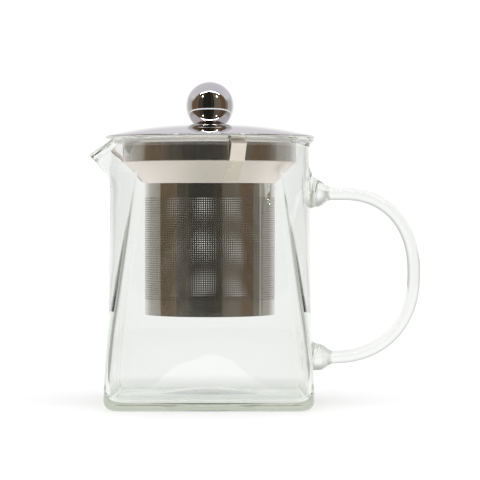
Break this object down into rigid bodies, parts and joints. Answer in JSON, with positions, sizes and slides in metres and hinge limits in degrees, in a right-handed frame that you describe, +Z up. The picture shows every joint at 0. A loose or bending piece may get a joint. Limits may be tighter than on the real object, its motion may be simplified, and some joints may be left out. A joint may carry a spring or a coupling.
{
  "type": "glass teapot with lift-out infuser",
  "caption": "Square-based borosilicate glass teapot with a beak spout and a glass ear handle, a perforated stainless steel infuser held by three spring clips, and a domed steel lid with a ball knob.",
  "frame": {"origin": "centre of the square base on the table", "axes": "+Z up, +X towards the handle, -X towards the spout"},
  "size_m": [0.1445, 0.0916, 0.1401],
  "materials": {
    "borosilicate_glass": "clear",
    "brushed_steel": "brushed",
    "perforated_steel": "bright perforated sheet",
    "spring_steel": "bright rolled",
    "polished_steel": "mirror polished",
    "screw_steel": "plain turned"
  },
  "bodies": {
    "jug": {"glass_body": "borosilicate_glass", "glass_handle": "borosilicate_glass"},
    "infuser": {"infuser_flange": "brushed_steel", "infuser_collar": "brushed_steel", "infuser_funnel": "brushed_steel", "basket_screen": "perforated_steel", "basket_floor": "perforated_steel", "spring_clip_front": "spring_steel", "spring_clip_back": "spring_steel", "spring_clip_spout": "spring_steel"},
    "lid": {"lid_cover": "polished_steel", "lid_ring": "brushed_steel", "lid_skirt": "brushed_steel", "knob_ball": "polished_steel", "knob_screw": "screw_steel", "knob_washer": "screw_steel"}
  },
  "joints": [
    {"name": "infuser_lift", "type": "slide", "parent": "jug", "child": "infuser", "axis": [0, 0, 1], "range_m": [0, 0.085]},
    {"name": "lid_lift", "type": "slide", "parent": "infuser", "child": "lid", "axis": [0, 0, 1], "range_m": [0, 0.03]}
  ]
}
